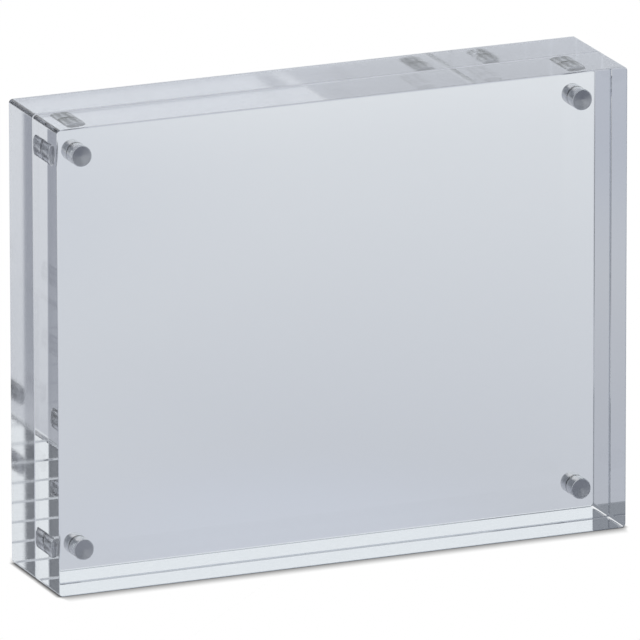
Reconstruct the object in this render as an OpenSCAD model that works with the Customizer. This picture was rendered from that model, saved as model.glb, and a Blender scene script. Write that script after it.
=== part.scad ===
// Magnetic acrylic block frame: two clear blocks that hold a print between them,
// with four pairs of small magnets set into their inner faces, near the corners.
// Millimetres. +X along the width, -Y towards the viewer, +Z up.
// Origin: middle of the width and of the closed thickness, on the surface it stands on.

/* [Blocks] */
// Width of both blocks
block_w = 115; // [90:1:250]
// Height of both blocks
block_h = 90; // [60:1:200]
// Thickness of one block
block_d = 12; // [8:0.5:25]
// Radius of the four outline corners
corner_r = 0.8; // [0.5:0.1:4]
// Width of the flame-polished bevel along the face edges
arris = 0.25; // [0.1:0.05:0.4]
// Space between the inner faces when closed, taken up by a print
print_gap = 0.1; // [0.06:0.02:0.5]

/* [Magnets] */
// Diameter of a magnet
magnet_d = 4; // [3:0.5:8]
// Length of a magnet
magnet_l = 4; // [2:0.5:6]
// Bevel round both ends of a magnet
magnet_bevel = 0.15; // [0.05:0.05:0.3]
// Depth of the shallow dish in a magnet's seated end
magnet_dish = 0.2; // [0.05:0.05:0.3]
// Distance from a block's edge to a magnet's axis
magnet_inset = 7; // [6:0.5:15]
// Radial room round a magnet for the adhesive
glue_gap = 0.05; // [0.02:0.01:0.1]
// Space left between two facing magnets when closed
pole_gap = 0.02; // [0.01:0.01:0.04]

/* [Hidden] */
$fn = 96;

inner_y = print_gap / 2;                 // inner face of the back block
magnet_y = pole_gap / 2;                 // facing end of a back magnet
bore_r = magnet_d / 2 + glue_gap;
bore_depth = magnet_l;                   // from a block's inner face
magnet_x = block_w / 2 - magnet_inset;
magnet_z = block_h / 2 - magnet_inset;   // from the block's middle height
cut = 1;                                 // how far a cutter runs past a face

// Side profile of a block's edge: a rectangle with both long edges bevelled.
// It spans length along X and the block's thickness along Y, from Y = 0.
module bevelled_strip(length) {
    half = length / 2;
    polygon([
        [-half + arris, 0], [half - arris, 0],
        [half, arris], [half, block_d - arris],
        [half - arris, block_d], [-half + arris, block_d],
        [-half, block_d - arris], [-half, arris]
    ]);
}

// A round post along +Y with the blocks' bevels: one outline corner.
module corner_post() {
    rotate([-90, 0, 0])
        rotate_extrude()
            polygon([
                [0, 0], [corner_r - arris, 0],
                [corner_r, arris], [corner_r, block_d - arris],
                [corner_r - arris, block_d], [0, block_d]
            ]);
}

// One polished block with its inner face at Y = 0 and its outer face at +Y,
// centred on X and Z.
module polished_block() {
    straight_w = block_w - 2 * corner_r;
    straight_h = block_h - 2 * corner_r;
    // left and right edges
    translate([0, 0, -straight_h / 2])
        linear_extrude(height = straight_h)
            bevelled_strip(block_w);
    // top and bottom edges
    rotate([0, 90, 0])
        translate([0, 0, -straight_w / 2])
            linear_extrude(height = straight_w)
                bevelled_strip(block_h);
    for (sx = [-1, 1], sz = [-1, 1])
        translate([sx * straight_w / 2, 0, sz * straight_h / 2])
            corner_post();
}

// The four blind bores in an inner face at Y = 0, each with a low cone on its floor
// that fills the magnet's dish.
module magnet_bores() {
    for (sx = [-1, 1], sz = [-1, 1])
        translate([sx * magnet_x, 0, sz * magnet_z])
            rotate([-90, 0, 0])
                rotate_extrude()
                    polygon([
                        [0, -cut], [bore_r, -cut],
                        [bore_r, bore_depth], [0, bore_depth - magnet_dish]
                    ]);
}

// The back block in place. Its mirror image is the front block.
module placed_block() {
    translate([0, inner_y, block_h / 2])
        difference() {
            polished_block();
            magnet_bores();
        }
}

module back_block() {
    color([0.84, 0.88, 0.92, 0.35]) placed_block();
}

module front_block() {
    color([0.84, 0.88, 0.92, 0.35]) mirror([0, 1, 0]) placed_block();
}

// One nickel-plated magnet of the back block; side is -1 for left or 1 for right,
// level is -1 for bottom or 1 for top.
module back_magnet(side, level) {
    r = magnet_d / 2;
    color([0.72, 0.73, 0.75])
        translate([side * magnet_x, magnet_y, block_h / 2 + level * magnet_z])
            rotate([-90, 0, 0])
                rotate_extrude()
                    polygon([
                        [0, 0], [r - magnet_bevel, 0],
                        [r, magnet_bevel], [r, magnet_l - magnet_bevel],
                        [r - magnet_bevel, magnet_l], [0, magnet_l - magnet_dish]
                    ]);
}

module front_magnet(side, level) {
    mirror([0, 1, 0]) back_magnet(side, level);
}

back_block();
front_block();
back_magnet(-1, 1);  // back_magnet_top_left
back_magnet(1, 1);  // back_magnet_top_right
back_magnet(-1, -1);  // back_magnet_bottom_left
back_magnet(1, -1);  // back_magnet_bottom_right
front_magnet(-1, 1);  // front_magnet_top_left
front_magnet(1, 1);  // front_magnet_top_right
front_magnet(-1, -1);  // front_magnet_bottom_left
front_magnet(1, -1);  // front_magnet_bottom_right
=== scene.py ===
"""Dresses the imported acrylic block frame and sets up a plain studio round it.

The frame is two clear cast acrylic blocks with polished edges. Nickel-plated magnets
in their inner faces hold them together, and a print goes between. Sizes and places
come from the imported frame, and the rest are properties below, as real sizes.
"""

import math

import bpy
from mathutils import Matrix, Vector


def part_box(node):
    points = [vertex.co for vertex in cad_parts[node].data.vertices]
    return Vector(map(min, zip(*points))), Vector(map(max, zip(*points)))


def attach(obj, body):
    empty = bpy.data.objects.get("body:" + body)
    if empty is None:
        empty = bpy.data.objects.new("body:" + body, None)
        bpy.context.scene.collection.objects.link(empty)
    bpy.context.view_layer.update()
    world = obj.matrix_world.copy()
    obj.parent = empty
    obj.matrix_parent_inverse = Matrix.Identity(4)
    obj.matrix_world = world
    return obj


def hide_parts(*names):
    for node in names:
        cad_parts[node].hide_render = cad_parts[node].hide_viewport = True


bl_info = {
    "name": "Acrylic Block Frame",
    "version": (1, 0, 0),
    "blender": (4, 5, 0),
    "location": "View3D > Sidebar > Block Frame",
    "description": "Polished acrylic blocks, their magnets and a plain studio",
    "category": "Object",
}

MM = 0.001
MERGE_GAP = 0.0005 * MM
TURN = math.radians(90)

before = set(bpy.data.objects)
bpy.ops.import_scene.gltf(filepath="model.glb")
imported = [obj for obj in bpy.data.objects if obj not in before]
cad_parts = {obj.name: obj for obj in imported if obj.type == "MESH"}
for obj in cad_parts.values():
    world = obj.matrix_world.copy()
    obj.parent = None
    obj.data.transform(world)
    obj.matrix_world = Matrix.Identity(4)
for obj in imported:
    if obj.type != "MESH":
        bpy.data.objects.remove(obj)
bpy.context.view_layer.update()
BLOCK_LOW, BLOCK_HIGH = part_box("back_block")
MAGNET_LOW, MAGNET_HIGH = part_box("back_magnet_top_right")

BLOCK_SIZE = BLOCK_HIGH - BLOCK_LOW
MIDDLE_Z = (BLOCK_LOW.z + BLOCK_HIGH.z) / 2
MAGNET_X = (MAGNET_LOW.x + MAGNET_HIGH.x) / 2
MAGNET_Z = (MAGNET_LOW.z + MAGNET_HIGH.z) / 2 - MIDDLE_Z
MAGNET_RADIUS = (MAGNET_HIGH.x - MAGNET_LOW.x) / 2
MAGNET_LENGTH = MAGNET_HIGH.y - MAGNET_LOW.y
CORNERS = ("top_left", "top_right", "bottom_left", "bottom_right")
# each body's blocks and magnets reach away from the joint plane along +Y or -Y
SIDES = {"back": 1, "front": -1}
# turned lines on the magnets: the real ones are finer, and these are as coarse as they
# need to be to show
LINE_SPACING = MM / 9
LINE_DEPTH = 0.003 * MM
# how far the seated end's painted shade and the groove's painted black shade keep off the
# magnet's side
SEAT_SHADE_INSET = 0.17 * MM
GROOVE_INSET = 0.12 * MM
SEAT_DEPTH = 0.5 * MM
# how far the groove's painted black shade goes along a magnet from its facing end, and how
# much further at the upper left
GROOVE_REACH = 0.1 * MM
GROOVE_WIDENING = 0.3 * MM
# the paper lies this far below the blocks, and its edges are out of sight
FLOOR_DROP = 0.03 * MM
FLOOR_HALF = 6.0

# Soft fields in the tent: where their middle is, as azimuth from +Y towards +X and
# elevation in degrees, how far out they are full and where they end, in degrees.
FIELDS = (
    {"towards": (25, 16), "inner": 9, "outer": 22, "colour": "EFF3F6"},
    {"towards": (-74, 14), "inner": 53, "outer": 72, "colour": "83878E"},
    {"towards": (174, 0), "inner": 9, "outer": 21, "colour": "F6F8FA"},
    {"towards": (159, 18), "inner": 7, "outer": 15, "colour": "50545A"},
    {"towards": (-3, 17), "inner": 5, "outer": 13, "colour": "6E7279"},
    {"towards": (2, 35), "inner": 9, "outer": 17, "colour": "FFFFFF"},
)
# Painted light and shade on the floor that the acrylic and nickel show: soft lighter and
# darker patches, their middle and reach in mm, full and where they end.
LIGHT_AND_SHADE_PATCHES = (
    {"at": (0, 20), "inner": 15, "outer": 60, "colour": "C3C7D2"},
    {"at": (-90, 330), "inner": 90, "outer": 210, "colour": "C0C4CF"},
    {"at": (-190, 30), "inner": 60, "outer": 120, "colour": "74777D"},
    {"at": (125, -150), "inner": 110, "outer": 190, "colour": "969AA5"},
)


def linear(hex_colour):
    """The linear colour of an sRGB hex value such as B8BABD."""
    channels = [int(hex_colour[i : i + 2], 16) / 255 for i in (0, 2, 4)]
    low = [c / 12.92 for c in channels]
    high = [((c + 0.055) / 1.055) ** 2.4 for c in channels]
    red, green, blue = (a if c <= 0.04045 else b for a, b, c in zip(low, high, channels))
    return red, green, blue, 1.0


class BlockSizes(bpy.types.PropertyGroup):
    """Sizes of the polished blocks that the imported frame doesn't state."""

    corner_radius: bpy.props.FloatProperty(
        name="Corner Radius",
        description="Radius of the four outline corners",
        default=0.8 * MM,
        unit="LENGTH",
    )
    arris: bpy.props.FloatProperty(
        name="Arris",
        description="Radius of the polished round along every face edge",
        default=0.25 * MM,
        unit="LENGTH",
    )
    steps: bpy.props.IntProperty(
        name="Steps",
        description="Faces across each rounded edge and corner",
        default=6,
        min=2,
    )
    bore_overlap: bpy.props.FloatProperty(
        name="Bore Overlap",
        description="How far a bore's wall lies inside its magnet's skin",
        default=0.01 * MM,
        unit="LENGTH",
    )


class MagnetSizes(bpy.types.PropertyGroup):
    """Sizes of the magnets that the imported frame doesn't state."""

    rim: bpy.props.FloatProperty(
        name="Rim",
        description="Radius of the tumbled round at both ends",
        default=0.15 * MM,
        unit="LENGTH",
    )
    dish: bpy.props.FloatProperty(
        name="Dish",
        description="Depth of the shallow dish in the seated end",
        default=0.2 * MM,
        unit="LENGTH",
    )
    steps: bpy.props.IntProperty(
        name="Steps",
        description="Faces round a magnet and its bore",
        default=96,
        min=12,
    )


class Finishes(bpy.types.PropertyGroup):
    """Colours and polish of the acrylic and of the nickel plate."""

    tint: bpy.props.FloatVectorProperty(
        name="Acrylic Tint",
        description="Colour that the clear acrylic gives to what shows through it",
        default=linear("FDFEFF"),
        subtype="COLOR",
        size=4,
    )
    # painted shade: a darker tint on the rounds along the lower and right face edges
    # stands in for the dark lines that light gives them
    edge_shade: bpy.props.FloatVectorProperty(
        name="Edge Shade",
        description="Tint of the rounds along the lower and right face edges",
        default=linear("A6ABB5"),
        subtype="COLOR",
        size=4,
    )
    index: bpy.props.FloatProperty(
        name="Refractive Index",
        description="Gives the bands in the left wall their photographed widths",
        default=1.463,
    )
    back_haze: bpy.props.FloatProperty(
        name="Back Haze",
        description="Roughness of the back block: images in its walls are soft",
        default=0.03,
    )
    front_haze: bpy.props.FloatProperty(
        name="Front Haze",
        description="Roughness of the front block",
        default=0.0,
    )
    plate_dark: bpy.props.FloatVectorProperty(
        name="Plate, Darker",
        description="Darker nickel between the turned lines",
        default=linear("D0D1D4"),
        subtype="COLOR",
        size=4,
    )
    plate_light: bpy.props.FloatVectorProperty(
        name="Plate, Lighter",
        description="Lighter nickel on the turned lines",
        default=linear("DEDFE2"),
        subtype="COLOR",
        size=4,
    )
    # painted shade: the seated end, at the bottom of its bore, is painted this darker
    # nickel
    seated: bpy.props.FloatVectorProperty(
        name="Seated End",
        description="Nickel painted darker as shade down in its bore",
        default=linear("ACAEB3"),
        subtype="COLOR",
        size=4,
    )
    groove: bpy.props.FloatVectorProperty(
        name="Groove",
        description="The unlit groove where two magnets meet",
        default=linear("08090A"),
        subtype="COLOR",
        size=4,
    )


class Studio(bpy.types.PropertyGroup):
    """Where the camera stands and how the studio is lit."""

    distance: bpy.props.FloatProperty(
        name="Camera Distance",
        description="From the camera to the point it aims at",
        default=3009.3 * MM,
        unit="LENGTH",
    )
    azimuth: bpy.props.FloatProperty(
        name="Camera Azimuth",
        description="How far the view turns from +Y towards +X",
        default=math.radians(22.71),
        unit="ROTATION",
    )
    elevation: bpy.props.FloatProperty(
        name="Camera Elevation",
        description="How far the camera looks down",
        default=math.radians(16.13),
        unit="ROTATION",
    )
    roll: bpy.props.FloatProperty(
        name="Camera Roll",
        description="How far the camera is turned about its own axis",
        default=math.radians(-0.08),
        unit="ROTATION",
    )
    lens: bpy.props.FloatProperty(
        name="Lens",
        description="Focal length in millimetres on a 36 mm sensor",
        default=904.8,
    )
    aim: bpy.props.FloatVectorProperty(
        name="Aim",
        description="Point that the camera aims at",
        default=(0.11 * MM, 0.0, 43.97 * MM),
        subtype="TRANSLATION",
        size=3,
    )
    shadow_reach: bpy.props.FloatProperty(
        name="Shadow Reach",
        description="How far the contact shadow goes out in front of the blocks",
        default=3.6 * MM,
        unit="LENGTH",
    )
    side_shadow: bpy.props.FloatProperty(
        name="Side Shadow",
        description="How far the contact shadow goes out beside the blocks",
        default=0.9 * MM,
        unit="LENGTH",
    )
    shadow_depth: bpy.props.FloatProperty(
        name="Shadow Depth",
        description="How dark the contact shadow is, as a power of the open share",
        default=1.6,
    )
    fade_reach: bpy.props.FloatProperty(
        name="Fade Reach",
        description="Distance from the blocks at which the floor is palest",
        default=500 * MM,
        unit="LENGTH",
    )
    floor_roughness: bpy.props.FloatProperty(
        name="Floor Roughness",
        description="Roughness of the floor's sheen",
        default=0.15,
    )
    # painted shade: the glowing floor shown in the acrylic and the nickel is darker at the
    # blocks
    floor_near: bpy.props.FloatVectorProperty(
        name="Floor, Near",
        description="The floor at the blocks, as they show it",
        default=linear("BABDC6"),
        subtype="COLOR",
        size=4,
    )
    floor_far: bpy.props.FloatVectorProperty(
        name="Floor, Far",
        description="The floor where it is palest, as the blocks show it",
        default=linear("F2F4F5"),
        subtype="COLOR",
        size=4,
    )
    tent: bpy.props.FloatVectorProperty(
        name="Tent",
        description="The tent round the blocks, as they show it",
        default=linear("BBC0C6"),
        subtype="COLOR",
        size=4,
    )


def add(tree, kind, inputs=None, **settings):
    """Adds a node, sets its settings, and gives each input its values or links."""
    node = tree.nodes.new(kind)
    for name, value in settings.items():
        setattr(node, name, value)
    for name, given in (inputs or {}).items():
        for value in given if isinstance(given, list) else [given]:
            if isinstance(value, bpy.types.NodeSocket):
                tree.links.new(value, node.inputs[name])
            else:
                node.inputs[name].default_value = value
    return node


def new_tree(name, sockets):
    """An empty geometry node tree with the named inputs, and its input node."""
    tree = bpy.data.node_groups.new(name, "GeometryNodeTree")
    for label, kind in sockets.items():
        tree.interface.new_socket(label, in_out="INPUT", socket_type=kind)
    tree.interface.new_socket(
        "Geometry", in_out="OUTPUT", socket_type="NodeSocketGeometry"
    )
    return tree, add(tree, "NodeGroupInput")


def grow(name, tree, values):
    """A plain mesh object made by a node tree from the given input values."""
    host = bpy.data.objects.new(name + "_nodes", bpy.data.meshes.new(name + "_nodes"))
    bpy.context.scene.collection.objects.link(host)
    modifier = host.modifiers.new("Shape", "NODES")
    modifier.node_group = tree
    for item in tree.interface.items_tree:
        if item.in_out == "INPUT":
            modifier[item.identifier] = values[item.name]
    weighted = host.modifiers.new("Flat faces", "WEIGHTED_NORMAL")
    weighted.mode = "FACE_AREA"
    weighted.weight = 100
    weighted.keep_sharp = True
    bpy.context.view_layer.update()
    evaluated = host.evaluated_get(bpy.context.evaluated_depsgraph_get())
    mesh = bpy.data.meshes.new_from_object(evaluated)
    mesh.name = name
    piece = bpy.data.objects.new(name, mesh)
    bpy.context.scene.collection.objects.link(piece)
    bpy.data.objects.remove(host)
    return piece


def turned_surface(tree, path, points, fillet=None):
    """Sweeps a profile of four points, each (along the path's axis, out from the
    path), round a closed path, as a lathe does. Along runs towards the path's -Z.
    The profile's inner corners may be filleted."""
    corners = {}
    for number, (along, out) in enumerate(points, start=1):
        place = add(tree, "ShaderNodeCombineXYZ", {"X": out, "Y": along})
        corners[f"Point {number}"] = place.outputs[0]
    profile = add(
        tree, "GeometryNodeCurvePrimitiveQuadrilateral", corners, mode="POINTS"
    )
    profile = add(
        tree,
        "GeometryNodeSetSplineCyclic",
        {"Geometry": profile.outputs[0], "Cyclic": False},
    )
    if fillet:
        radius, count = fillet
        profile = add(
            tree,
            "GeometryNodeFilletCurve",
            {"Curve": profile.outputs[0], "Radius": radius, "Count": count},
            mode="POLY",
        )
    return add(
        tree,
        "GeometryNodeCurveToMesh",
        {"Curve": path, "Profile Curve": profile.outputs[0]},
    )


def finish_tree(tree, surfaces, given):
    """Joins the surfaces, closes their seams, sets the shading and the material, and
    turns the shape from its own Z to the frame's Y."""
    shape = add(tree, "GeometryNodeJoinGeometry", {"Geometry": surfaces})
    shape = add(
        tree,
        "GeometryNodeMergeByDistance",
        {"Geometry": shape.outputs[0], "Distance": MERGE_GAP},
    )
    # the large flat faces are shaded flat, and edges of over 50 degrees stay crisp
    normal = add(tree, "GeometryNodeInputNormal")
    parts = add(tree, "ShaderNodeSeparateXYZ", {0: normal.outputs[0]})
    upright = add(
        tree, "ShaderNodeMath", {0: parts.outputs["Z"]}, operation="ABSOLUTE"
    ).outputs[0]
    flat = add(
        tree,
        "FunctionNodeCompare",
        {"A": upright, "B": 0.995},
        operation="GREATER_THAN",
    )
    shape = add(
        tree,
        "GeometryNodeSetShadeSmooth",
        {
            "Geometry": shape.outputs[0],
            "Selection": flat.outputs[0],
            "Shade Smooth": False,
        },
    )
    angle = add(tree, "GeometryNodeInputMeshEdgeAngle")
    crisp = add(
        tree,
        "FunctionNodeCompare",
        {"A": angle.outputs["Unsigned Angle"], "B": math.radians(50)},
        operation="GREATER_THAN",
    )
    shape = add(
        tree,
        "GeometryNodeSetShadeSmooth",
        {
            "Geometry": shape.outputs[0],
            "Selection": crisp.outputs[0],
            "Shade Smooth": False,
        },
        domain="EDGE",
    )
    shape = add(
        tree,
        "GeometryNodeTransform",
        {
            "Geometry": shape.outputs[0],
            "Translation": given["Place"],
            "Rotation": given["Turn"],
        },
    )
    shape = add(
        tree, "GeometryNodeRealizeInstances", {"Geometry": shape.outputs[0]}
    )
    shape = add(
        tree,
        "GeometryNodeSetMaterial",
        {"Geometry": shape.outputs[0], "Material": given["Material"]},
    )
    add(tree, "NodeGroupOutput", {"Geometry": shape.outputs[0]})


def at_corners(tree, given, thing):
    """Copies of a form at the four magnet places, made real."""
    places = add(
        tree,
        "GeometryNodeCurvePrimitiveQuadrilateral",
        {"Width": given["Axes Apart X"], "Height": given["Axes Apart Z"]},
        mode="RECTANGLE",
    )
    copies = add(
        tree,
        "GeometryNodeInstanceOnPoints",
        {"Points": places.outputs[0], "Instance": thing},
    )
    return add(tree, "GeometryNodeRealizeInstances", {"Geometry": copies.outputs[0]})


def block_tree():
    """Node tree of one polished block with four blind bores in its inner face."""
    tree, given = new_tree(
        "Polished Block",
        {
            "Width": "NodeSocketFloat",
            "Height": "NodeSocketFloat",
            "Thickness": "NodeSocketFloat",
            "Corner Radius": "NodeSocketFloat",
            "Arris": "NodeSocketFloat",
            "Steps": "NodeSocketInt",
            "Axes Apart X": "NodeSocketFloat",
            "Axes Apart Z": "NodeSocketFloat",
            "Bore Radius": "NodeSocketFloat",
            "Bore Depth": "NodeSocketFloat",
            "Bore Dish": "NodeSocketFloat",
            "Bore Steps": "NodeSocketInt",
            "Place": "NodeSocketVector",
            "Turn": "NodeSocketRotation",
            "Material": "NodeSocketMaterial",
        },
    )
    given = given.outputs
    arris = given["Arris"]
    both = add(
        tree, "ShaderNodeMath", {0: arris, 1: 2.0}, operation="MULTIPLY"
    ).outputs[0]
    outline = add(
        tree,
        "GeometryNodeCurvePrimitiveQuadrilateral",
        {
            "Width": add(
                tree,
                "ShaderNodeMath",
                {0: given["Width"], 1: both},
                operation="SUBTRACT",
            ).outputs[0],
            "Height": add(
                tree,
                "ShaderNodeMath",
                {0: given["Height"], 1: both},
                operation="SUBTRACT",
            ).outputs[0],
        },
        mode="RECTANGLE",
    )
    outline = add(
        tree,
        "GeometryNodeFilletCurve",
        {
            "Curve": outline.outputs[0],
            "Radius": add(
                tree,
                "ShaderNodeMath",
                {0: given["Corner Radius"], 1: arris},
                operation="SUBTRACT",
            ).outputs[0],
            "Count": given["Steps"],
        },
        mode="POLY",
    )
    rim = turned_surface(
        tree,
        outline.outputs[0],
        [
            (0.0, 0.0),
            (0.0, arris),
            (given["Thickness"], arris),
            (given["Thickness"], 0.0),
        ],
        fillet=(arris, given["Steps"]),
    )
    outer = add(
        tree, "GeometryNodeFillCurve", {"Curve": outline.outputs[0]}, mode="NGONS"
    )
    depth = add(
        tree, "ShaderNodeMath", {0: given["Thickness"], 1: -1.0}, operation="MULTIPLY"
    ).outputs[0]
    drop = add(tree, "ShaderNodeCombineXYZ", {"Z": depth})
    outer = add(
        tree,
        "GeometryNodeTransform",
        {"Geometry": outer.outputs[0], "Translation": drop.outputs[0]},
    )
    outer = add(tree, "GeometryNodeFlipFaces", {"Mesh": outer.outputs[0]})
    circle = add(
        tree,
        "GeometryNodeCurvePrimitiveCircle",
        {"Resolution": given["Bore Steps"], "Radius": given["Bore Radius"]},
    )
    mouths = at_corners(tree, given, circle.outputs[0])
    inner = add(
        tree,
        "GeometryNodeJoinGeometry",
        {"Geometry": [outline.outputs[0], mouths.outputs[0]]},
    )
    inner = add(
        tree, "GeometryNodeFillCurve", {"Curve": inner.outputs[0]}, mode="NGONS"
    )
    tip = add(
        tree,
        "ShaderNodeMath",
        {0: given["Bore Depth"], 1: given["Bore Dish"]},
        operation="SUBTRACT",
    ).outputs[0]
    axis = add(
        tree, "ShaderNodeMath", {0: given["Bore Radius"], 1: -1.0}, operation="MULTIPLY"
    ).outputs[0]
    bore = turned_surface(
        tree,
        circle.outputs[0],
        [
            (0.0, 0.0),
            (given["Bore Depth"], 0.0),
            (tip, axis),
            (tip, axis),
        ],
    )
    bore = add(tree, "GeometryNodeFlipFaces", {"Mesh": bore.outputs[0]})
    bores = at_corners(tree, given, bore.outputs[0])
    surfaces = [node.outputs[0] for node in (rim, outer, inner, bores)]
    finish_tree(tree, surfaces, given)
    return tree


def magnet_tree():
    """Node tree of the four magnets of one block, facing ends at their own Z = 0."""
    tree, given = new_tree(
        "Magnets",
        {
            "Radius": "NodeSocketFloat",
            "Length": "NodeSocketFloat",
            "Rim": "NodeSocketFloat",
            "Dish": "NodeSocketFloat",
            "Rim Steps": "NodeSocketInt",
            "Steps": "NodeSocketInt",
            "Axes Apart X": "NodeSocketFloat",
            "Axes Apart Z": "NodeSocketFloat",
            "Place": "NodeSocketVector",
            "Turn": "NodeSocketRotation",
            "Material": "NodeSocketMaterial",
        },
    )
    given = given.outputs
    circle = add(
        tree,
        "GeometryNodeCurvePrimitiveCircle",
        {"Resolution": given["Steps"], "Radius": given["Radius"]},
    )
    axis = add(
        tree, "ShaderNodeMath", {0: given["Radius"], 1: -1.0}, operation="MULTIPLY"
    ).outputs[0]
    tip = add(
        tree,
        "ShaderNodeMath",
        {0: given["Length"], 1: given["Dish"]},
        operation="SUBTRACT",
    ).outputs[0]
    magnet = turned_surface(
        tree,
        circle.outputs[0],
        [(0.0, axis), (0.0, 0.0), (given["Length"], 0.0), (tip, axis)],
        fillet=(given["Rim"], given["Rim Steps"]),
    )
    magnets = at_corners(tree, given, magnet.outputs[0])
    finish_tree(tree, [magnets.outputs[0]], given)
    return tree


def acrylic(name, finishes, haze):
    """Cast acrylic, polished: clear, with a faint cool tint in its thickness. The
    rounds along the lower and right face edges carry painted shade: a darker tint that
    stands in for the dark lines light gives them."""
    material = bpy.data.materials.new(name)
    material.use_nodes = True
    tree = material.node_tree
    tree.nodes.clear()
    normal = add(
        tree,
        "ShaderNodeVectorTransform",
        {0: add(tree, "ShaderNodeNewGeometry").outputs["Normal"]},
        vector_type="NORMAL",
        convert_from="WORLD",
        convert_to="OBJECT",
    )
    parts = add(tree, "ShaderNodeSeparateXYZ", {0: normal.outputs[0]})
    lean = add(
        tree, "ShaderNodeMath", {0: parts.outputs["Y"]}, operation="ABSOLUTE"
    ).outputs[0]
    # on the rounds, the normal leans from about 6 to 79 degrees out of the walls
    on_round = add(
        tree, "ShaderNodeMath", {0: lean, 1: 0.54, 2: 0.44}, operation="COMPARE"
    )
    # painted shade: only the rounds on the lower and right edges get the darker edge tint
    low_right = add(
        tree,
        "ShaderNodeMath",
        {0: parts.outputs["X"], 1: parts.outputs["Z"]},
        operation="SUBTRACT",
    ).outputs[0]
    low_right = add(
        tree, "ShaderNodeMath", {0: low_right, 1: 0.15}, operation="GREATER_THAN"
    ).outputs[0]
    tone = add(
        tree,
        "ShaderNodeMix",
        {
            0: add(
                tree,
                "ShaderNodeMath",
                {0: on_round.outputs[0], 1: low_right},
                operation="MULTIPLY",
            ).outputs[0],
            6: finishes.tint,
            7: finishes.edge_shade,
        },
        data_type="RGBA",
    )
    surface = add(
        tree,
        "ShaderNodeBsdfPrincipled",
        {
            "Base Color": tone.outputs[2],
            "Roughness": haze,
            "IOR": finishes.index,
            "Transmission Weight": 1.0,
        },
    )
    add(tree, "ShaderNodeOutputMaterial", {"Surface": surface.outputs[0]})
    return material


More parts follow.
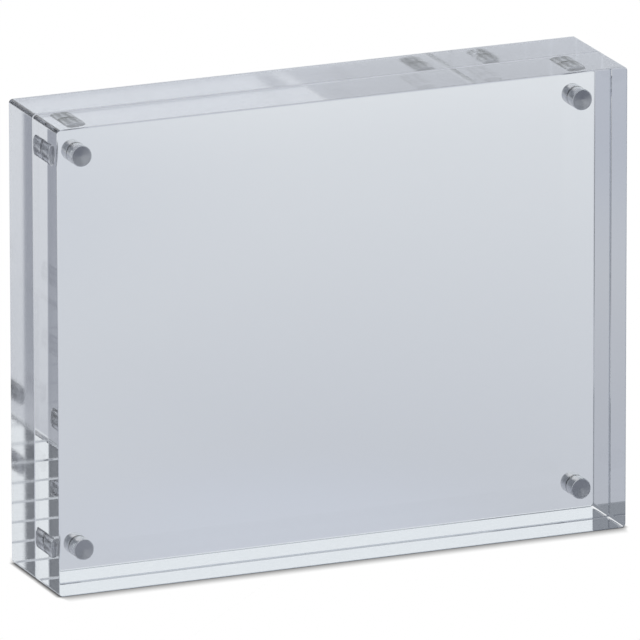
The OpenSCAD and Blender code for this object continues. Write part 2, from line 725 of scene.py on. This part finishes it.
def nickel(finishes):
    """Bright nickel plate on a ground magnet: silvery, with very fine turned lines."""
    material = bpy.data.materials.new("tumbled_nickel_plate")
    material.use_nodes = True
    tree = material.node_tree
    tree.nodes.clear()
    place = add(tree, "ShaderNodeTexCoord")
    parts = add(tree, "ShaderNodeSeparateXYZ", {0: place.outputs["Object"]})
    across = from_axis(tree, parts.outputs["X"], MAGNET_X)
    level = add(
        tree,
        "ShaderNodeMath",
        {0: parts.outputs["Z"], 1: MIDDLE_Z},
        operation="SUBTRACT",
    ).outputs[0]
    up = from_axis(tree, level, MAGNET_Z)
    spoke = add(tree, "ShaderNodeCombineXYZ", {"X": across, "Z": up})
    radius = add(
        tree, "ShaderNodeVectorMath", {0: spoke.outputs[0]}, operation="LENGTH"
    ).outputs["Value"]
    along = add(
        tree, "ShaderNodeMath", {0: parts.outputs["Y"]}, operation="ABSOLUTE"
    ).outputs[0]
    bearing = add(
        tree, "ShaderNodeMath", {0: up, 1: across}, operation="ARCTAN2"
    ).outputs[0]
    # the lines run round the magnet, so they change with the radius and the length
    lines = add(
        tree,
        "ShaderNodeCombineXYZ",
        {
            "X": add(
                tree, "ShaderNodeMath", {0: radius, 1: LINE_SPACING}, operation="DIVIDE"
            ).outputs[0],
            "Y": add(
                tree, "ShaderNodeMath", {0: along, 1: LINE_SPACING}, operation="DIVIDE"
            ).outputs[0],
            "Z": add(
                tree, "ShaderNodeMath", {0: bearing, 1: 0.6}, operation="MULTIPLY"
            ).outputs[0],
        },
    )
    grain = add(
        tree,
        "ShaderNodeTexNoise",
        {"Vector": lines.outputs[0], "Scale": 1.0, "Detail": 3.0},
    )
    rough = add(
        tree,
        "ShaderNodeMapRange",
        {"Value": grain.outputs[0], "To Min": 0.18, "To Max": 0.3},
    )
    relief = add(
        tree,
        "ShaderNodeBump",
        {"Height": grain.outputs[0], "Strength": 0.25, "Distance": LINE_DEPTH},
    )
    back = add(
        tree, "ShaderNodeMath", {0: up, 1: -1.0}, operation="MULTIPLY"
    ).outputs[0]
    round_axis = add(tree, "ShaderNodeCombineXYZ", {"X": back, "Z": across})
    tone = add(
        tree,
        "ShaderNodeMix",
        {0: grain.outputs[0], 6: finishes.plate_dark, 7: finishes.plate_light},
        data_type="RGBA",
    )
    # painted shade: the seated end, down in its bore, is painted a darker nickel inside
    # the bright rim
    inside = add(
        tree,
        "ShaderNodeMath",
        {0: radius, 1: MAGNET_RADIUS - SEAT_SHADE_INSET},
        operation="LESS_THAN",
    ).outputs[0]
    far = add(
        tree,
        "ShaderNodeMath",
        {0: along, 1: MAGNET_LENGTH - SEAT_DEPTH},
        operation="GREATER_THAN",
    ).outputs[0]
    tone = add(
        tree,
        "ShaderNodeMix",
        {
            0: add(
                tree, "ShaderNodeMath", {0: inside, 1: far}, operation="MULTIPLY"
            ).outputs[0],
            6: tone.outputs[2],
            7: finishes.seated,
        },
        data_type="RGBA",
    )
    # painted shade: the facing rims are painted the groove's black, as in an unlit groove,
    # and the black reaches further at the upper left
    upper_left = add(
        tree,
        "ShaderNodeVectorMath",
        {0: spoke.outputs[0], 1: (-0.3, 0.0, 0.95)},
        operation="DOT_PRODUCT",
    )
    slope = add(
        tree,
        "ShaderNodeMath",
        {0: upper_left.outputs["Value"], 1: radius},
        operation="DIVIDE",
    ).outputs[0]
    slope = add(
        tree, "ShaderNodeMath", {0: slope, 1: 0.0}, operation="MAXIMUM"
    ).outputs[0]
    groove = add(
        tree,
        "ShaderNodeMath",
        {0: slope, 1: GROOVE_WIDENING, 2: GROOVE_REACH},
        operation="MULTIPLY_ADD",
    ).outputs[0]
    depth = add(
        tree,
        "ShaderNodeMapRange",
        {
            "Value": add(
                tree, "ShaderNodeMath", {0: along, 1: groove}, operation="DIVIDE"
            ).outputs[0],
            "From Min": 1.3,
            "From Max": 0.8,
        },
        interpolation_type="SMOOTHSTEP",
    )
    rim = add(
        tree,
        "ShaderNodeMath",
        {0: radius, 1: MAGNET_RADIUS - GROOVE_INSET},
        operation="GREATER_THAN",
    ).outputs[0]
    tone = add(
        tree,
        "ShaderNodeMix",
        {
            0: add(
                tree,
                "ShaderNodeMath",
                {0: depth.outputs[0], 1: rim},
                operation="MULTIPLY",
            ).outputs[0],
            6: tone.outputs[2],
            7: finishes.groove,
        },
        data_type="RGBA",
    )
    surface = add(
        tree,
        "ShaderNodeBsdfPrincipled",
        {
            "Base Color": tone.outputs[2],
            "Metallic": 1.0,
            "Roughness": rough.outputs[0],
            "Anisotropic": 0.2,
            "Tangent": round_axis.outputs[0],
            "Normal": relief.outputs[0],
        },
    )
    add(tree, "ShaderNodeOutputMaterial", {"Surface": surface.outputs[0]})
    return material


def from_axis(tree, value, axis):
    """How far a coordinate lies from the nearer of the two magnet axes at +-axis."""
    away = add(
        tree,
        "ShaderNodeMath",
        {
            0: add(tree, "ShaderNodeMath", {0: value}, operation="ABSOLUTE").outputs[0],
            1: axis,
        },
        operation="SUBTRACT",
    ).outputs[0]
    return add(
        tree,
        "ShaderNodeMath",
        {
            0: away,
            1: add(tree, "ShaderNodeMath", {0: value}, operation="SIGN").outputs[0],
        },
        operation="MULTIPLY",
    ).outputs[0]


class BLOCKFRAME_OT_blocks(bpy.types.Operator):
    """Make the polished block of each body"""

    bl_idname = "blockframe.blocks"
    bl_label = "Polished Blocks"

    def execute(self, context):
        sizes = context.scene.block_sizes
        magnets = context.scene.magnet_sizes
        finishes = context.scene.block_finishes
        haze = {"back": finishes.back_haze, "front": finishes.front_haze}
        tree = block_tree()
        reach = MAGNET_HIGH.y - sizes.bore_overlap - BLOCK_LOW.y
        for body, side in SIDES.items():
            values = {
                "Width": BLOCK_SIZE.x,
                "Height": BLOCK_SIZE.z,
                "Thickness": BLOCK_SIZE.y,
                "Corner Radius": sizes.corner_radius,
                "Arris": sizes.arris,
                "Steps": sizes.steps,
                "Axes Apart X": 2 * MAGNET_X,
                "Axes Apart Z": 2 * MAGNET_Z,
                "Bore Radius": MAGNET_RADIUS - sizes.bore_overlap,
                "Bore Depth": reach,
                "Bore Dish": magnets.dish,
                "Bore Steps": magnets.steps,
                "Place": (0.0, side * BLOCK_LOW.y, MIDDLE_Z),
                "Turn": (side * TURN, 0.0, 0.0),
                "Material": acrylic(f"polished_cast_acrylic_{body}", finishes, haze[body]),
            }
            piece = grow(f"{body}_polished_block", tree, values)
            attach(piece, body)
            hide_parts(f"{body}_block")
        return {"FINISHED"}


class BLOCKFRAME_OT_magnets(bpy.types.Operator):
    """Make the four magnets of each body"""

    bl_idname = "blockframe.magnets"
    bl_label = "Magnets"

    def execute(self, context):
        sizes = context.scene.magnet_sizes
        tree = magnet_tree()
        finish = nickel(context.scene.block_finishes)
        for body, side in SIDES.items():
            values = {
                "Radius": MAGNET_RADIUS,
                "Length": MAGNET_LENGTH,
                "Rim": sizes.rim,
                "Dish": sizes.dish,
                "Rim Steps": 4,
                "Steps": sizes.steps,
                "Axes Apart X": 2 * MAGNET_X,
                "Axes Apart Z": 2 * MAGNET_Z,
                "Place": (0.0, side * MAGNET_LOW.y, MIDDLE_Z),
                "Turn": (side * TURN, 0.0, 0.0),
                "Material": finish,
            }
            piece = grow(f"{body}_magnets", tree, values)
            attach(piece, body)
            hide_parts(*[f"{body}_magnet_{corner}" for corner in CORNERS])
        return {"FINISHED"}


class BLOCKFRAME_OT_stage(bpy.types.Operator):
    """Set up the camera, the floor and the light"""

    bl_idname = "blockframe.stage"
    bl_label = "Studio"

    def execute(self, context):
        studio = context.scene.block_studio
        aim_camera(context.scene, studio)
        lay_floor(studio)
        light_world(context.scene, studio.tent)
        context.scene.view_settings.view_transform = "Standard"
        cycles = context.scene.cycles
        cycles.max_bounces = 48
        cycles.glossy_bounces = 48
        cycles.transmission_bounces = 48
        return {"FINISHED"}


def aim_camera(scene, studio):
    """The camera at the photograph's viewing angle."""
    data = bpy.data.cameras.new("camera")
    data.lens = studio.lens
    data.sensor_width = 36.0
    data.clip_start = 0.1
    data.clip_end = 50.0
    camera = bpy.data.objects.new("camera", data)
    scene.collection.objects.link(camera)
    turn = (
        Matrix.Rotation(-studio.azimuth, 4, "Z")
        @ Matrix.Rotation(TURN - studio.elevation, 4, "X")
        @ Matrix.Rotation(studio.roll, 4, "Z")
    )
    back = turn @ Vector((0.0, 0.0, studio.distance))
    camera.matrix_world = Matrix.Translation(Vector(studio.aim) + back) @ turn
    scene.camera = camera


def lay_floor(studio):
    """A pale, slightly glossy floor a hair below the blocks. The camera sees it as
    white paper with only the blocks' contact shadow on it. What shows through the acrylic
    and in the nickel glows with painted light and shade: the floor's fall-off in
    brightness towards the front and towards the blocks, and soft lighter and darker
    patches."""
    mesh = bpy.data.meshes.new("floor")
    signs = [(-1, -1), (1, -1), (1, 1), (-1, 1)]
    corners = [(x * FLOOR_HALF, y * FLOOR_HALF, -FLOOR_DROP) for x, y in signs]
    mesh.from_pydata(corners, [], [(0, 1, 2, 3)])
    floor = bpy.data.objects.new("floor", mesh)
    bpy.context.scene.collection.objects.link(floor)
    material = bpy.data.materials.new("white_sweep")
    material.use_nodes = True
    mesh.materials.append(material)
    tree = material.node_tree
    tree.nodes.clear()
    path = add(tree, "ShaderNodeLightPath")
    direct = path.outputs["Is Camera Ray"]
    place = add(tree, "ShaderNodeTexCoord").outputs["Object"]
    parts = add(tree, "ShaderNodeSeparateXYZ", {0: place})
    beside = add(
        tree,
        "ShaderNodeMapRange",
        {
            "Value": add(
                tree, "ShaderNodeMath", {0: parts.outputs["X"]}, operation="ABSOLUTE"
            ).outputs[0],
            "From Min": BLOCK_HIGH.x - studio.side_shadow,
            "From Max": BLOCK_HIGH.x,
            "To Min": studio.shadow_reach,
            "To Max": studio.side_shadow,
        },
    )
    open_air = add(
        tree, "ShaderNodeAmbientOcclusion", {"Distance": beside.outputs[0]}
    )
    paper = add(
        tree,
        "ShaderNodeEmission",
        {
            "Strength": add(
                tree,
                "ShaderNodeMath",
                {0: open_air.outputs["AO"], 1: studio.shadow_depth},
                operation="POWER",
            ).outputs[0],
            "Color": (1.0, 1.0, 1.0, 1.0),
        },
    )
    # painted shade: the floor that the acrylic and the nickel show glows darker near the
    # blocks and palest at the fade reach
    away = add(tree, "ShaderNodeVectorMath", {0: place}, operation="LENGTH")
    fade = add(
        tree,
        "ShaderNodeMapRange",
        {"Value": away.outputs["Value"], "From Min": 0.0, "From Max": studio.fade_reach},
    )
    shade = add(
        tree,
        "ShaderNodeMix",
        {0: fade.outputs[0], 6: studio.floor_near, 7: studio.floor_far},
        data_type="RGBA",
    ).outputs[2]
    # painted light and shade: soft lighter and darker patches on that glowing floor
    for patch in LIGHT_AND_SHADE_PATCHES:
        x, y = patch["at"]
        gap = add(
            tree,
            "ShaderNodeVectorMath",
            {0: place, 1: (x * MM, y * MM, 0.0)},
            operation="DISTANCE",
        )
        edge = add(
            tree,
            "ShaderNodeMapRange",
            {
                "Value": gap.outputs["Value"],
                "From Min": patch["outer"] * MM,
                "From Max": patch["inner"] * MM,
            },
            interpolation_type="SMOOTHSTEP",
        )
        shade = add(
            tree,
            "ShaderNodeMix",
            {0: edge.outputs[0], 6: shade, 7: linear(patch["colour"])},
            data_type="RGBA",
        ).outputs[2]
    floor_glow = add(tree, "ShaderNodeEmission", {"Color": shade})
    sheen = add(
        tree,
        "ShaderNodeBsdfAnisotropic",
        {"Color": (1.0, 1.0, 1.0, 1.0), "Roughness": studio.floor_roughness},
    )
    facing = add(tree, "ShaderNodeFresnel", {"IOR": 1.45})
    seen = add(
        tree,
        "ShaderNodeMixShader",
        {0: facing.outputs[0], 1: floor_glow.outputs[0], 2: sheen.outputs[0]},
    )
    both = add(
        tree,
        "ShaderNodeMixShader",
        {0: direct, 1: seen.outputs[0], 2: paper.outputs[0]},
    )
    add(tree, "ShaderNodeOutputMaterial", {"Surface": both.outputs[0]})


def towards(azimuth, elevation):
    """The unit vector at an azimuth from +Y towards +X and a height, in degrees."""
    turn, lift = math.radians(azimuth), math.radians(elevation)
    flat = math.cos(lift)
    return math.sin(turn) * flat, math.cos(turn) * flat, math.sin(lift)


def light_world(scene, tent):
    """A pale tent with soft lighter and darker fields, which the acrylic and the nickel
    show. The camera and the paper see even white instead."""
    world = bpy.data.worlds.new("studio")
    scene.world = world
    world.use_nodes = True
    tree = world.node_tree
    tree.nodes.clear()
    path = add(tree, "ShaderNodeLightPath")
    place = add(tree, "ShaderNodeTexCoord")
    colour = tent
    for field in FIELDS:
        along = add(
            tree,
            "ShaderNodeVectorMath",
            {0: place.outputs["Generated"], 1: towards(*field["towards"])},
            operation="DOT_PRODUCT",
        )
        edge = add(
            tree,
            "ShaderNodeMapRange",
            {
                "Value": along.outputs["Value"],
                "From Min": math.cos(math.radians(field["outer"])),
                "From Max": math.cos(math.radians(field["inner"])),
            },
            interpolation_type="SMOOTHSTEP",
        )
        colour = add(
            tree,
            "ShaderNodeMix",
            {0: edge.outputs[0], 6: colour, 7: linear(field["colour"])},
            data_type="RGBA",
        ).outputs[2]
    even = add(
        tree,
        "ShaderNodeMath",
        {0: path.outputs["Is Camera Ray"], 1: path.outputs["Is Diffuse Ray"]},
        operation="MAXIMUM",
    ).outputs[0]
    colour = add(
        tree,
        "ShaderNodeMix",
        {0: even, 6: colour, 7: (1.0, 1.0, 1.0, 1.0)},
        data_type="RGBA",
    )
    sky = add(tree, "ShaderNodeBackground", {"Color": colour.outputs[2]})
    add(tree, "ShaderNodeOutputWorld", {"Surface": sky.outputs[0]})


class BLOCKFRAME_PT_panel(bpy.types.Panel):
    """Lists the pieces in the 3D view's sidebar."""

    bl_idname = "BLOCKFRAME_PT_panel"
    bl_label = "Acrylic Block Frame"
    bl_space_type = "VIEW_3D"
    bl_region_type = "UI"
    bl_category = "Block Frame"

    def draw(self, context):
        scene = context.scene
        for label, group in GROUPS.items():
            box = self.layout.box()
            box.label(text=group.bl_rna.name)
            for name in group.__annotations__:
                box.prop(getattr(scene, label), name)
        for operator in OPERATORS:
            self.layout.operator(operator.bl_idname)


GROUPS = {
    "block_sizes": BlockSizes,
    "magnet_sizes": MagnetSizes,
    "block_finishes": Finishes,
    "block_studio": Studio,
}
OPERATORS = (BLOCKFRAME_OT_stage, BLOCKFRAME_OT_blocks, BLOCKFRAME_OT_magnets)
CLASSES = (*GROUPS.values(), *OPERATORS, BLOCKFRAME_PT_panel)


def register():
    for cls in CLASSES:
        bpy.utils.register_class(cls)
    for name, group in GROUPS.items():
        setattr(bpy.types.Scene, name, bpy.props.PointerProperty(type=group))


def unregister():
    for name in GROUPS:
        delattr(bpy.types.Scene, name)
    for cls in reversed(CLASSES):
        bpy.utils.unregister_class(cls)


def main():
    register()
    bpy.ops.blockframe.stage()
    bpy.ops.blockframe.blocks()
    bpy.ops.blockframe.magnets()


if __name__ == "__main__":
    main()
